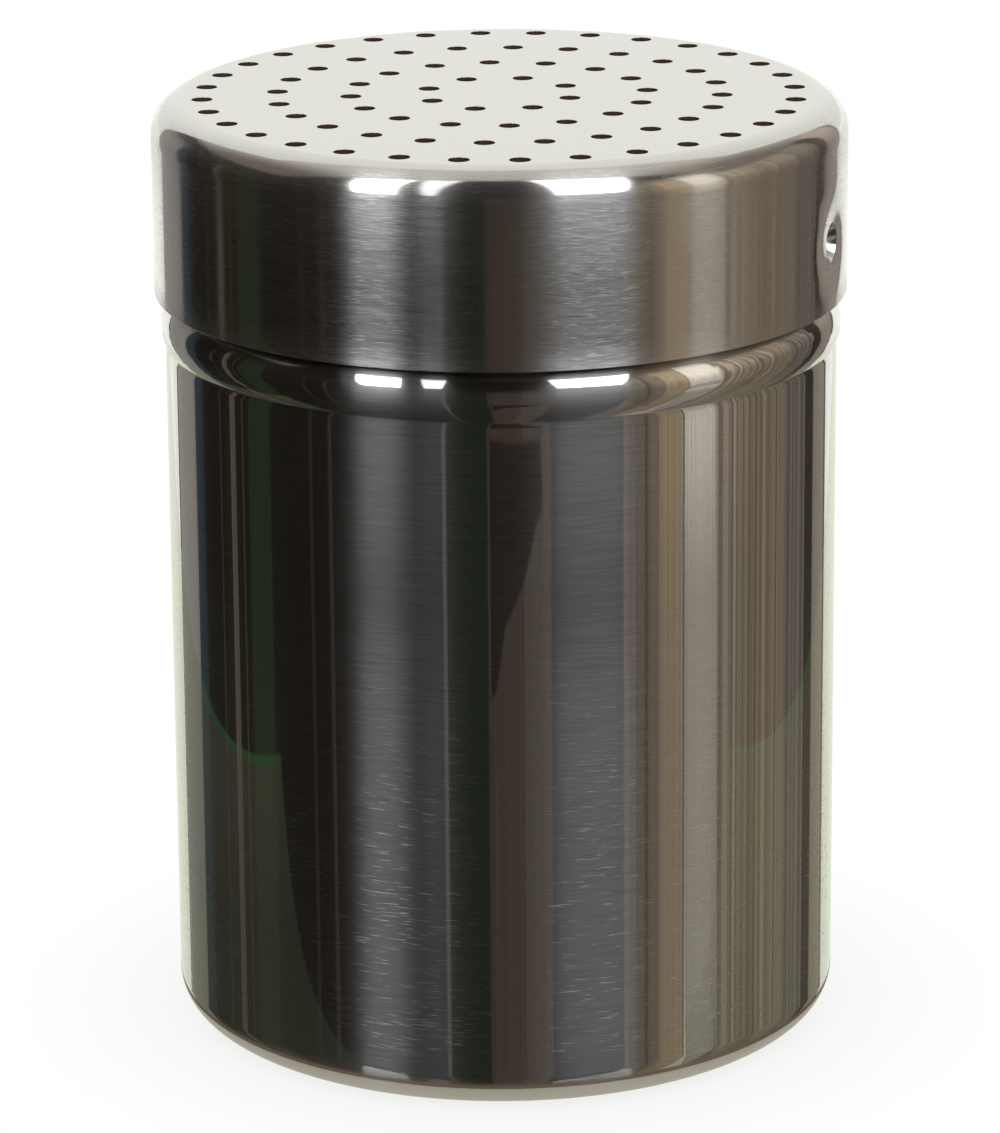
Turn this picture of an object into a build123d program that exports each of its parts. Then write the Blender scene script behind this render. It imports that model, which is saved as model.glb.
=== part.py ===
"""Stainless steel spice shaker: a deep-drawn cup and a perforated cap with a twist lock.

Units are millimetres and +Z is up. The origin is the centre of the base, on the surface
that the shaker stands on. The two dimples of the cap lie on the X axis.
"""
import os
from math import cos, degrees, radians, sin

from build123d import *

# Driving dimensions
TOTAL_HEIGHT = 96.0          # table to the top of the seated cap
SHEET = 0.5                  # wall of both pressings
BODY_RADIUS = 34.0           # outside of the straight wall
BODY_CORNER_RADIUS = 4.0     # outside corner between wall and base
CAP_RADIUS = 35.0            # outside of the skirt
CAP_CORNER_RADIUS = 3.5      # outside corner between top and skirt
CAP_HEIGHT = 19.6            # top of the cap to the edge of the skirt

# The bead under the cap: an outward roll between the wall and the neck
BEAD_Z = 73.1                # height of its widest ring
BEAD_REACH = 0.45            # how far it stands proud of the wall
BEAD_RADIUS = 4.3            # radius of its section
BEAD_LOWER_ANGLE = 25.0      # where the lower hollow takes over, below the widest ring
BEAD_UPPER_ANGLE = 45.0      # where the neck hollow takes over, above it
NECK_RADIUS = 33.0           # outside of the neck that the cap slides over

# The raised middle of the base, which leaves a ring to stand on
BASE_RING_RADIUS = 26.0      # inner edge of the ring, at the table
BASE_PANEL_RADIUS = 24.8     # edge of the raised panel
BASE_RISE = 0.8              # height of the panel above the table

# The twist lock: a dimple in the cap runs in an L-shaped channel in the neck
SEAT_GAP = 0.15              # air between the mouth and the corner inside the cap
DIMPLE_DROP = 12.9           # top of the cap to the middle of the dimple
DIMPLE_MOUTH = 4.0           # diameter of the dimple at the outside of the skirt
DIMPLE_TIP_RADIUS = 32.4     # distance from the axis to the inner tip of the dimple
DIMPLE_TAPER = 18.0          # slope of the dimple's wall, in degrees
CHANNEL_DEPTH = 0.9          # how far the neck is pressed in
CHANNEL_WIDTH = 4.8          # width of the channel along the neck
LOCK_TURN = 22.0             # how far the cap turns clockwise to lock, in degrees
LOCK_SIDES = (0.0, 180.0)    # the dimples and channels, round the axis

# The sprinkling holes: ring k has 8 k holes at k ring pitches from the middle
HOLE_DIAMETER = 2.1
RING_PITCH = 7.45
RINGS = 4
HOLES_PER_RING_STEP = 8

CUT_PAST = 1.0               # how far a cut reaches past the sheet that it cuts

# Heights and radii that follow
CAP_EDGE_Z = TOTAL_HEIGHT - CAP_HEIGHT
DIMPLE_Z = TOTAL_HEIGHT - DIMPLE_DROP
BEAD_CENTRE_R = BODY_RADIUS + BEAD_REACH - BEAD_RADIUS
CHANNEL_FLOOR_RADIUS = NECK_RADIUS - CHANNEL_DEPTH
CHANNEL_ARC = LOCK_TURN + degrees(CHANNEL_WIDTH / 2 / NECK_RADIUS)
CLOCKWISE = Axis((0, 0, 0), (0, 0, -1))


def seat_height():
    """Height at which the neck meets the rounded corner inside the cap."""
    corner = CAP_CORNER_RADIUS - SHEET
    overlap = NECK_RADIUS - (CAP_RADIUS - CAP_CORNER_RADIUS)
    rise = (corner**2 - overlap**2) ** 0.5
    return TOTAL_HEIGHT - CAP_CORNER_RADIUS + rise


MOUTH_Z = seat_height() - SEAT_GAP


def bead_point(angle, radius):
    """A point at this angle and distance round the centre of the bead's section."""
    turn = radians(angle)
    return (BEAD_CENTRE_R + radius * cos(turn), BEAD_Z + radius * sin(turn))


def hollow_radius(wall_radius, angle):
    """Radius of the hollow that is tangent to the bead at this angle and to a wall."""
    turn = radians(angle)
    return (BEAD_CENTRE_R + BEAD_RADIUS * cos(turn) - wall_radius) / (1.0 - cos(turn))


def cup_outline(inset, top):
    """Half section of the cup, from the base to the height top, moved inwards by inset.

    Wall and base are straight. The bead is one arc, with a tangent hollow at each end.
    """
    wall = BODY_RADIUS - inset
    neck = NECK_RADIUS - inset
    bead = BEAD_RADIUS - inset
    corner = BODY_CORNER_RADIUS - inset
    low_hollow = hollow_radius(BODY_RADIUS, BEAD_LOWER_ANGLE)
    high_hollow = hollow_radius(NECK_RADIUS, BEAD_UPPER_ANGLE)
    low_centre = bead_point(-BEAD_LOWER_ANGLE, BEAD_RADIUS + low_hollow)
    high_centre = bead_point(BEAD_UPPER_ANGLE, BEAD_RADIUS + high_hollow)
    low_start = (wall, low_centre[1])
    low_end = bead_point(-BEAD_LOWER_ANGLE, bead)
    high_start = bead_point(BEAD_UPPER_ANGLE, bead)
    high_end = (neck, high_centre[1])
    with BuildLine() as outline:
        Line((0, inset), (wall - corner, inset))
        RadiusArc((wall - corner, inset), (wall, inset + corner), -corner)
        Line((wall, inset + corner), low_start)
        RadiusArc(low_start, low_end, low_hollow + inset)
        RadiusArc(low_end, high_start, -bead)
        RadiusArc(high_start, high_end, high_hollow + inset)
        Line(high_end, (neck, top))
        Line((neck, top), (0, top))
        Line((0, top), (0, inset))
    return outline.line


def channel(floor_radius, margin, top):
    """L-shaped channel: an entry from the mouth and a level leg round the neck.

    The solid reaches from floor_radius to past the neck, and is margin wider all round.
    """
    half = CHANNEL_WIDTH / 2 + margin
    reach = NECK_RADIUS + CUT_PAST
    middle = (floor_radius + reach) / 2
    low = DIMPLE_Z - half
    with BuildPart() as shape:
        with BuildSketch(Plane.XY.offset(low)):
            with Locations((middle, 0)):
                Rectangle(reach - floor_radius, 2 * half)
        extrude(amount=top - low)
        with BuildSketch(Plane.XZ):
            with Locations((middle, DIMPLE_Z)):
                Rectangle(reach - floor_radius, 2 * half)
        revolve(axis=CLOCKWISE, revolution_arc=CHANNEL_ARC + degrees(margin / NECK_RADIUS))
    return shape.part


def make_shaker_body():
    """Cup with base, straight wall, bead and neck, and the two channels of the lock."""
    with BuildPart() as cavity:
        with BuildSketch(Plane.XZ):
            with BuildLine():
                add(cup_outline(SHEET, MOUTH_Z))
            make_face()
        revolve(axis=Axis.Z)
        for side in LOCK_SIDES:
            ridge = channel(CHANNEL_FLOOR_RADIUS - SHEET, SHEET, MOUTH_Z)
            add(ridge.rotate(Axis.Z, side), mode=Mode.SUBTRACT)
        with BuildSketch(Plane.XY.offset(SHEET)):
            Circle(BASE_RING_RADIUS - SHEET)
        with BuildSketch(Plane.XY.offset(SHEET + BASE_RISE)):
            Circle(BASE_PANEL_RADIUS - SHEET)
        loft(mode=Mode.SUBTRACT)
    with BuildPart() as body:
        with BuildSketch(Plane.XZ):
            with BuildLine():
                add(cup_outline(0.0, MOUTH_Z))
            make_face()
        revolve(axis=Axis.Z)
        for side in LOCK_SIDES:
            groove = channel(CHANNEL_FLOOR_RADIUS, 0.0, MOUTH_Z + CUT_PAST)
            add(groove.rotate(Axis.Z, side), mode=Mode.SUBTRACT)
        add(cavity.part, mode=Mode.SUBTRACT)
        with BuildSketch(Plane.XY):
            Circle(BASE_RING_RADIUS)
        with BuildSketch(Plane.XY.offset(BASE_RISE)):
            Circle(BASE_PANEL_RADIUS)
        loft(mode=Mode.SUBTRACT)
    body.part.label = "shaker_body"
    return body.part


def cap_outline(inset):
    """Half section of the cap, moved inwards by inset, open at the skirt's edge."""
    skirt = CAP_RADIUS - inset
    top = TOTAL_HEIGHT - inset
    corner = CAP_CORNER_RADIUS - inset
    with BuildLine() as outline:
        Line((0, CAP_EDGE_Z), (skirt, CAP_EDGE_Z))
        Line((skirt, CAP_EDGE_Z), (skirt, top - corner))
        RadiusArc((skirt, top - corner), (skirt - corner, top), -corner)
        Line((skirt - corner, top), (0, top))
        Line((0, top), (0, CAP_EDGE_Z))
    return outline.line


def dimple(margin, tip_radius):
    """Tapered plug along X, from outside the skirt to tip_radius, margin wider."""
    start = CAP_RADIUS
    with BuildPart() as shape:
        with BuildSketch(Plane(origin=(start, 0, DIMPLE_Z), z_dir=(-1, 0, 0))):
            Circle(DIMPLE_MOUTH / 2 + margin)
        extrude(amount=start - tip_radius, taper=DIMPLE_TAPER)
    return shape.part


def make_perforated_cap():
    """Cap with its skirt, two dimples and four rings of sprinkling holes."""
    with BuildPart() as cap:
        with BuildSketch(Plane.XZ):
            with BuildLine():
                add(cap_outline(0.0))
            make_face()
        revolve(axis=Axis.Z)
        with BuildSketch(Plane.XZ):
            with BuildLine():
                add(cap_outline(SHEET))
            make_face()
        revolve(axis=Axis.Z, mode=Mode.SUBTRACT)
        for side in LOCK_SIDES:
            add(dimple(SHEET, DIMPLE_TIP_RADIUS).rotate(Axis.Z, side))
        for side in LOCK_SIDES:
            pocket = dimple(0.0, DIMPLE_TIP_RADIUS + SHEET)
            add(pocket.rotate(Axis.Z, side), mode=Mode.SUBTRACT)
        with BuildSketch(Plane.XY.offset(TOTAL_HEIGHT)):
            for ring in range(1, RINGS + 1):
                with PolarLocations(ring * RING_PITCH, ring * HOLES_PER_RING_STEP):
                    Circle(HOLE_DIAMETER / 2)
        extrude(amount=-(SHEET + CUT_PAST), mode=Mode.SUBTRACT)
    cap.part.label = "perforated_cap"
    return cap.part


def main():
    os.makedirs("parts", exist_ok=True)
    shaker_body = make_shaker_body()
    perforated_cap = make_perforated_cap()
    export_step(shaker_body, "parts/shaker_body.step")
    export_step(perforated_cap, "parts/perforated_cap.step")
    for piece in (shaker_body, perforated_cap):
        size = piece.bounding_box().size
        print(piece.label, "volume", round(piece.volume, 1), "size", size)
    print("mouth height", round(MOUTH_Z, 3))


main()
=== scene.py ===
# %% [markdown]
# # A polished steel spice shaker
# The shaker is two pressings of thin stainless steel. A deep cup has a bead below its neck, and a
# flat cap with eighty holes slides over the neck and locks with two dimples. The steel is
# polished like a mirror, so almost everything that the eye sees on it is the room around it. The
# lesson therefore has three parts: the two sheets as exact surfaces, the steel with the fine
# marks that polishing leaves round the axis, and a studio that is worth mirroring.

import bpy
import numpy as np
from mathutils import Matrix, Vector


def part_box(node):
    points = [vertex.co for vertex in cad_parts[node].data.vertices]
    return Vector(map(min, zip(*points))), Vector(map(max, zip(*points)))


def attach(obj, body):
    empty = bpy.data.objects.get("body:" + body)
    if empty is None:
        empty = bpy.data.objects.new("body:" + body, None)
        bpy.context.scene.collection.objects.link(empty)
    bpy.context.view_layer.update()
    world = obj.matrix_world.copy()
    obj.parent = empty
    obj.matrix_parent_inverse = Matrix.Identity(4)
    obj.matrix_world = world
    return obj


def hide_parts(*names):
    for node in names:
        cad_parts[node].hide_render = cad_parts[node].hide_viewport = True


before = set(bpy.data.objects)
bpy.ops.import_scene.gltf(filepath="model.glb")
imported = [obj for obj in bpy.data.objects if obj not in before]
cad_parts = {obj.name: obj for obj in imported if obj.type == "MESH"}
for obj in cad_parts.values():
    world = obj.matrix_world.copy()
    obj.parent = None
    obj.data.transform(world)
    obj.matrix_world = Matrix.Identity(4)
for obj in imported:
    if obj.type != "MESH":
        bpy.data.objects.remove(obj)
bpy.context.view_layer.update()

cap_low, cap_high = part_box("perforated_cap")
cup_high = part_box("shaker_body")[1]
print("cap from", tuple(cap_low), "to", tuple(cap_high))

# %% [markdown]
# ## Sizes
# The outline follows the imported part, so the outer sizes come from its boxes. The other sizes are
# those of the two pressings, in metres.

# %% Name the sizes
MM = 0.001
TOTAL_HEIGHT = cap_high.z
CAP_RADIUS = cap_high.x
CAP_EDGE_Z = cap_low.z
BEAD_OUTSIDE = cup_high.x
MOUTH_Z = cup_high.z
SHEET = 0.5 * MM
BODY_RADIUS = 34.0 * MM
BODY_CORNER = 4.0 * MM
CAP_CORNER = 3.5 * MM
NECK_RADIUS = 33.0 * MM
BEAD_Z = 73.1 * MM
BEAD_RADIUS = 4.3 * MM
BEAD_LOWER_ANGLE = 25.0
BEAD_UPPER_ANGLE = 45.0
BASE_RING = 26.0 * MM
BASE_PANEL = 24.8 * MM
BASE_RISE = 0.8 * MM
DIMPLE_Z = TOTAL_HEIGHT - 12.9 * MM
SIDES = (0.0, np.pi)         # the two dimples, round the axis
print("height", round(TOTAL_HEIGHT / MM, 2), "mm, cap radius", round(CAP_RADIUS / MM, 2), "mm")

# %% [markdown]
# ## Half sections
# Both pressings are turned shapes, so each starts as a half section: a row of points in the plane
# of radius and height. A mirror shows the smallest error in a normal, so every point also carries
# the direction in which the section runs there. Blender's own smoothing would average the faces
# around a point and bend the mirror image beside each small round. Arcs and lines with known
# directions avoid that.

# %% Arcs and lines with their directions
def arc(centre, radius, start, end, steps):
    """Rows (r, z, direction r, direction z) on a circle round centre, from start to end degrees.

    A point is centre + radius (cos a, sin a), and the direction is at right angles to that spoke.
    """
    turn = np.radians(np.linspace(start, end, steps + 1))
    way = 1.0 if end > start else -1.0
    spoke_r, spoke_z = np.cos(turn), np.sin(turn)
    return np.column_stack((centre[0] + radius * spoke_r, centre[1] + radius * spoke_z,
                            -way * spoke_z, way * spoke_r))


def line(start, end, steps):
    """Rows at equal steps on the straight line from start to end, all with its direction."""
    start, end = np.array(start), np.array(end)
    share = np.linspace(0.0, 1.0, steps + 1)[:, None]
    direction = (end - start) / np.linalg.norm(end - start)
    return np.hstack((start + share * (end - start), np.tile(direction, (steps + 1, 1))))


def backwards(section):
    """The same section walked from its end to its start."""
    return section[::-1] * np.array((1.0, 1.0, -1.0, -1.0))


print("a quarter circle in two steps:", arc((0.0, 0.0), 1.0, 0, 90, 2).round(2).tolist())

# %% [markdown]
# ## The section of the cup
# The cup stands on a flat ring round a raised panel. A round corner leads to the straight wall.
# Below the cap the sheet rolls outwards into a bead, which stops the cap, and goes in again to
# the neck. The bead is one arc with a small tangent hollow at each end, so that no crease breaks
# the mirror. The inner side of the sheet is the same walk with every arc moved in by the sheet.

# %% Walk up the cup's section
bead_centre = np.array((BEAD_OUTSIDE - BEAD_RADIUS, BEAD_Z))


def from_bead(angle, distance):
    """The point at this angle, in degrees, and distance from the centre of the bead's arc."""
    turn = np.radians(angle)
    return bead_centre + distance * np.array((np.cos(turn), np.sin(turn)))


def hollow_radius(wall, angle):
    """Radius of the hollow that touches both the bead, at this angle, and an upright wall."""
    cosine = np.cos(np.radians(angle))
    return (bead_centre[0] + BEAD_RADIUS * cosine - wall) / (1.0 - cosine)


def base_step(inset, steps):
    """The step round the raised panel: half a cosine wave from the panel down to the ring."""
    share = np.linspace(0.0, 1.0, steps + 1)
    width = BASE_RING - BASE_PANEL
    radius = BASE_PANEL + share * width
    height = inset + BASE_RISE * (1.0 + np.cos(np.pi * share)) / 2.0
    slope = -BASE_RISE * np.pi * np.sin(np.pi * share) / (2.0 * width)
    length = np.hypot(1.0, slope)
    return np.column_stack((radius, height, 1.0 / length, slope / length))


def cup_section(inset):
    """The cup's sheet from the middle of the base to just below the mouth, moved in by inset.

    The last number of each arc and line is its count of steps, which are closest on the rounds.
    """
    low = hollow_radius(BODY_RADIUS, BEAD_LOWER_ANGLE)
    high = hollow_radius(NECK_RADIUS, BEAD_UPPER_ANGLE)
    low_centre = from_bead(-BEAD_LOWER_ANGLE, BEAD_RADIUS + low)
    high_centre = from_bead(BEAD_UPPER_ANGLE, BEAD_RADIUS + high)
    corner = (BODY_RADIUS - BODY_CORNER, BODY_CORNER)
    wall, neck = BODY_RADIUS - inset, NECK_RADIUS - inset
    return np.vstack((
        line((0.0, BASE_RISE + inset), (BASE_PANEL, BASE_RISE + inset), 6),
        base_step(inset, 8),
        line((BASE_RING, inset), (corner[0], inset), 2),
        arc(corner, BODY_CORNER - inset, -90, 0, 14),
        line((wall, BODY_CORNER), (wall, low_centre[1]), 12),
        arc(low_centre, low + inset, 180, 180 - BEAD_LOWER_ANGLE, 6),
        arc(bead_centre, BEAD_RADIUS - inset, -BEAD_LOWER_ANGLE, BEAD_UPPER_ANGLE, 20),
        arc(high_centre, high + inset, 180 + BEAD_UPPER_ANGLE, 180, 6),
        line((neck, high_centre[1]), (neck, MOUTH_Z - SHEET / 2), 40),
    ))


mouth = arc((NECK_RADIUS - SHEET / 2, MOUTH_Z - SHEET / 2), SHEET / 2, 0, 180, 8)
cup_rows = np.vstack((cup_section(0.0), mouth, backwards(cup_section(SHEET))))
print("the cup's section has", len(cup_rows), "points")

# %% [markdown]
# ## Pressing the sheet in
# The twist lock is pressed into finished walls: L-shaped channels in the neck, and a dimple on
# each side of the cap. Both are a depth that depends on the angle round the axis and the height,
# and both sides of the sheet move in by it together. The channel's depth follows the distance to
# the edge of the L. The cap's dimple has a sharp lip and a round bottom, and the punch has also
# drawn the wall around it into a shallow saucer, which bends the mirrored lines beside it.

# %% Depth of the channels and of the dimples
CHANNEL_DEPTH = 0.9 * MM
CHANNEL_WIDTH = 4.8 * MM
CHANNEL_SLOPE = 0.7 * MM     # width of the channel's sloping side
LOCK_TURN = np.radians(22.0)
CHANNEL_LEG = NECK_RADIUS * LOCK_TURN + CHANNEL_WIDTH / 2
DIMPLE_DEPTH = 2.1 * MM
DIMPLE_LIP = 2.0 * MM        # radius of the dimple at the skirt's outside
DIMPLE_BOTTOM = 0.5 * MM     # radius at which its wall runs out into the bottom
SAUCER_DEPTH = 0.42 * MM
SAUCER_RADIUS = 6.4 * MM


def smooth(x):
    """0 below 0, 1 above 1, and 3 x squared less 2 x cubed in between."""
    x = np.clip(x, 0.0, 1.0)
    return x * x * (3.0 - 2.0 * x)


def round_the_side(angle, radius):
    """Arc length from the nearer side of the lock, from minus to plus a quarter turn."""
    half = np.pi
    return ((angle + half / 2) % half - half / 2) * radius


def box_distance(x, z, x_range, z_range):
    """How deep a point is inside a box: the least distance to its sides, negative outside."""
    inside_x = np.minimum(x - x_range[0], x_range[1] - x)
    inside_z = np.minimum(z - z_range[0], z_range[1] - z)
    return np.minimum(inside_x, inside_z)


def channel_depth(angle, height):
    """The L: an entry from the mouth and a level leg that runs clockwise, seen from above."""
    x = round_the_side(angle, NECK_RADIUS)
    half = CHANNEL_WIDTH / 2
    above = MOUTH_Z + CHANNEL_WIDTH
    entry = box_distance(x, height, (-half, half), (DIMPLE_Z - half, above))
    leg = box_distance(x, height, (-CHANNEL_LEG, half), (DIMPLE_Z - half, DIMPLE_Z + half))
    return CHANNEL_DEPTH * smooth(np.maximum(entry, leg) / CHANNEL_SLOPE)


def dimple_depth(angle, height):
    """A parabola inside the lip, and half a cosine wave for the saucer around it."""
    distance = np.hypot(round_the_side(angle, CAP_RADIUS), height - DIMPLE_Z)
    saucer = SAUCER_DEPTH * (1.0 + np.cos(np.pi * np.minimum(distance / SAUCER_RADIUS, 1.0))) / 2
    share = np.clip((distance - DIMPLE_BOTTOM) / (DIMPLE_LIP - DIMPLE_BOTTOM), 0.0, 1.0)
    return saucer + (DIMPLE_DEPTH - SAUCER_DEPTH) * (1.0 - share ** 2)


print("a dimple is", round(float(dimple_depth(0.0, DIMPLE_Z)) / MM, 2), "mm deep, a channel",
      round(float(channel_depth(0.0, DIMPLE_Z)) / MM, 2), "mm")

# %% [markdown]
# ## From section to surface
# A point of the surface is a point of the section turned to an angle and moved towards the axis
# by the depth there. The normal is the cross product of the two directions in which the surface
# runs: round the axis and along the section, each leaned by the slope of the depth. The slope is
# the difference of the depth over a very short step to either side.

# %% Turn the section and press it in
SLOPE_STEP = 0.001 * MM


def no_depth(angle, height):
    """A wall that is not pressed in."""
    return np.zeros(np.broadcast(angle, height).shape)


def on_the_wall(angle, rows, depth):
    """Points and normals for angles and section rows of one shape (..., 4), pressed in by depth."""
    radius, height, along_r, along_z = np.moveaxis(rows, -1, 0)
    step = SLOPE_STEP
    turn = step / np.maximum(radius, MM)
    slope_up = (depth(angle, height + step) - depth(angle, height - step)) / (2 * step)
    slope_round = (depth(angle + turn, height) - depth(angle - turn, height)) / (2 * step)
    cosine, sine = np.cos(angle), np.sin(angle)
    reach = radius - depth(angle, height)
    points = np.stack((reach * cosine, reach * sine, height + 0.0 * reach), axis=-1)
    out, round_axis, up = along_z, slope_round * along_z, slope_up * along_z - along_r
    normals = np.stack((out * cosine - round_axis * sine, out * sine + round_axis * cosine,
                        up + 0.0 * reach), axis=-1)
    return points, normals / np.linalg.norm(normals, axis=-1, keepdims=True)


dimple_row = np.array(((CAP_RADIUS, DIMPLE_Z, 0.0, 1.0),))
dimple_middle = on_the_wall(np.zeros(1), dimple_row, dimple_depth)[0]
print("middle of a dimple, in mm:", (dimple_middle[0] / MM).round(2).tolist())

# %% [markdown]
# ## Patches of faces
# Rows of such points form a grid, and every gap of the grid becomes a face with four corners. One
# grid can't go round a hole or follow a small dimple well, so a piece is made of several patches,
# and faces where another patch takes over are left out.

# %% Cut a grid into faces
def grid_faces(rows, columns):
    """Corner numbers of the faces between neighbouring rows and columns of a grid."""
    number = np.arange(rows * columns).reshape(rows, columns)
    return np.stack((number[:-1, :-1], number[:-1, 1:], number[1:, 1:], number[1:, :-1]), axis=-1)


def patch(points, normals, keep=None):
    """A grid of points as one patch: flat lists of points and normals, and its faces."""
    faces = grid_faces(*points.shape[:2])
    faces = faces.reshape(-1, 4) if keep is None else faces[keep]
    return points.reshape(-1, 3), normals.reshape(-1, 3), faces


def turned(rows, angles, depth, keep=None):
    """The section rows carried round the axis through the angles."""
    angle = np.tile(angles[None, :], (len(rows), 1))
    grid = np.tile(rows[:, None, :], (1, len(angles), 1))
    return patch(*on_the_wall(angle, grid, depth), keep)


print("a grid of 3 by 4 points has", len(grid_faces(3, 4).reshape(-1, 4)), "faces")

# %% [markdown]
# ## One mesh from patches
# Points that fall on each other are merged, which closes the seams, and a face that ends in a pole
# loses its doubled corner and becomes a triangle. The mesh then gets the worked-out normals in
# place of Blender's own.

# %% Join the patches
MERGE_DISTANCE = 0.0001 * MM


def make_piece(name, patches, material):
    """One closed mesh from patches: near points are merged and each keeps its own normal."""
    counts = np.cumsum([0] + [len(p[0]) for p in patches[:-1]])
    points = np.vstack([p[0] for p in patches])
    normals = np.vstack([p[1] for p in patches])
    faces = np.vstack([p[2] + start for p, start in zip(patches, counts)])
    _, first, merged = np.unique(np.round(points / MERGE_DISTANCE).astype(np.int64), axis=0,
                                 return_index=True, return_inverse=True)
    faces = merged.reshape(-1)[faces]
    same = faces == np.roll(faces, -1, axis=1)
    quads = faces[same.sum(axis=1) == 0]
    pointed = same.sum(axis=1) == 1
    triangles = faces[pointed][~same[pointed]].reshape(-1, 3)
    mesh = bpy.data.meshes.new(name)
    mesh.from_pydata(points[first].tolist(), [], quads.tolist() + triangles.tolist())
    mesh.polygons.foreach_set("use_smooth", np.ones(len(mesh.polygons), dtype=bool))
    mesh.normals_split_custom_set_from_vertices(normals[first].tolist())
    mesh.materials.append(material)
    piece = bpy.data.objects.new(name, mesh)
    bpy.context.scene.collection.objects.link(piece)
    print(name, "has", len(mesh.vertices), "points and", len(mesh.polygons), "faces")
    return piece


print("points are merged on a grid of", MERGE_DISTANCE / MM, "mm")

# %% [markdown]
# ## Nodes in one line
# A material is a graph of nodes. These helpers make a node, set its values and join its sockets
# in one line, so that the cells below read like formulas.

# %% Helpers for node graphs
def node(tree, kind, inputs=None, **settings):
    """A node of this kind, with settings, whose inputs are values or another node's output."""
    made = tree.nodes.new(kind)
    for name, value in settings.items():
        setattr(made, name, value)
    for socket, value in (inputs or {}).items():
        if isinstance(value, bpy.types.NodeSocket):
            tree.links.new(value, made.inputs[socket])
        else:
            made.inputs[socket].default_value = value
    return made


def calc(tree, operation, *values, clamp=False):
    """The output of a Math node for these values."""
    made = node(tree, "ShaderNodeMath", dict(enumerate(values)), operation=operation)
    made.use_clamp = clamp
    return made.outputs[0]


def vector_calc(tree, operation, *values):
    """The output of a Vector Math node for these values, where SCALE takes a vector and a number."""
    if operation == "SCALE":
        return node(tree, "ShaderNodeVectorMath", {0: values[0], "Scale": values[1]},
                    operation=operation).outputs[0]
    return node(tree, "ShaderNodeVectorMath", dict(enumerate(values)),
                operation=operation).outputs[0]


def blend_colour(tree, share, first, second):
    """A mix of two colours: the first where share is 0 and the second where it is 1.

    Inputs 6 and 7 and output 2 are the colour sockets of the Mix node.
    """
    mixer = node(tree, "ShaderNodeMix", {"Factor": share}, data_type="RGBA")
    for socket, value in ((mixer.inputs[6], first), (mixer.inputs[7], second)):
        if isinstance(value, bpy.types.NodeSocket):
            tree.links.new(value, socket)
        else:
            socket.default_value = (*value, 1.0)
    return mixer.outputs[2]


def ease(tree, value, low, high):
    """0 up to low, 1 from high on, and smooth in between. With low above high it falls instead."""
    return node(tree, "ShaderNodeMapRange", {"Value": value, "From Min": low, "From Max": high},
                interpolation_type="SMOOTHSTEP").outputs[0]


def empty_material(name):
    """A new material without nodes, and its tree."""
    material = bpy.data.materials.new(name)
    material.use_nodes = True
    material.node_tree.nodes.clear()
    return material, material.node_tree


print("helpers:", [h.__name__ for h in (node, calc, vector_calc, blend_colour, ease)])

# %% [markdown]
# ## Mirror-polished steel
# Each pressing is spun against a polishing wheel, which leaves fine marks round the axis. Between
# the marks the surface is a plain mirror. In a mark it leans up and down much more than sideways,
# so a lamp above the shaker is drawn out into a pale band below it, while the dark strips beside
# it stay clean. The marks are thinner than a pixel, so they are not drawn one by one. The
# material is a mix of two shaders instead: a mirror, and a gloss that spreads light along the
# section only. The share of the gloss is the part of the surface that the marks cover.
#
# The wheel bites harder on some zones, so the finish follows the height. On the skirt of the cap
# the share changes and the spread doesn't. On the wall of the cup the spread changes, and the
# share stays the same and above a quarter. Below that, the render's noise filter turns the fine
# marks into dots.

# %% Name the finish of each piece
STEEL_COLOUR = (0.62, 0.61, 0.59)
CUP_FINISH = {
    # share of the surface that marks cover, as pairs of height and share
    "marks": ((0.0, 0.31), (0.0751, 0.31), (0.0756, 0.80), (0.096, 0.80)),
    # how wide the gloss spreads light along the section, as pairs of height and spread
    "wide": ((0.0, 0.28), (0.004, 0.28), (0.007, 0.312), (0.040, 0.302), (0.047, 0.278),
             (0.0515, 0.236), (0.055, 0.240), (0.061, 0.278), (0.067, 0.298), (0.0751, 0.312),
             (0.0756, 0.45), (0.096, 0.45)),
    "narrow": 0.0245,                  # and round the axis
    "grain": (5.0 * MM, 0.16 * MM),    # length and width of the uneven streaks
    "uneven": 0.5,                     # how strongly they change the share
    "scratch": (2.4 * MM, 0.13 * MM),  # length and width of single scratches
    "scratched": (56.0 * MM, 16.0 * MM),  # none above the first height, all below the second
    "rare": 0.642,                     # noise level above which there is a scratch
    "bite": 0.69,                      # how much more a scratch covers
    "smooth": 0.03,                    # roughness of the mirror between the marks
    "ripple": 0.05 * MM,               # how far the rolled bead waves in and out
}
CAP_FINISH = {
    "marks": ((0.0, 0.75), (0.0765, 0.75), (0.079, 0.34), (0.085, 0.33), (0.089, 0.50),
              (0.0925, 0.66), (0.094, 0.40), (0.0955, 0.20)),
    "wide": ((0.0, 0.45), (0.096, 0.45)),
    "narrow": 0.030,
    "grain": (2.2 * MM, 0.10 * MM),
    "uneven": 1.0,
    "scratch": (1.6 * MM, 0.09 * MM),
    "scratched": (98.0 * MM, 97.0 * MM),  # all over, since both heights lie above the cap
    "rare": 0.60,
    "bite": 0.34,
    "smooth": 0.09,                    # the cap is handled more
    "ripple": 0.0,
}
print("marks cover", CUP_FINISH["marks"][0][1], "of the cup's wall")

# %% [markdown]
# ## Where a point of the steel is
# The patterns of the finish depend on the height, the distance from the axis, the level direction
# outwards and the normal. All of these come from the piece's own coordinates, so a pattern stays
# on the piece when it moves.

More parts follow.
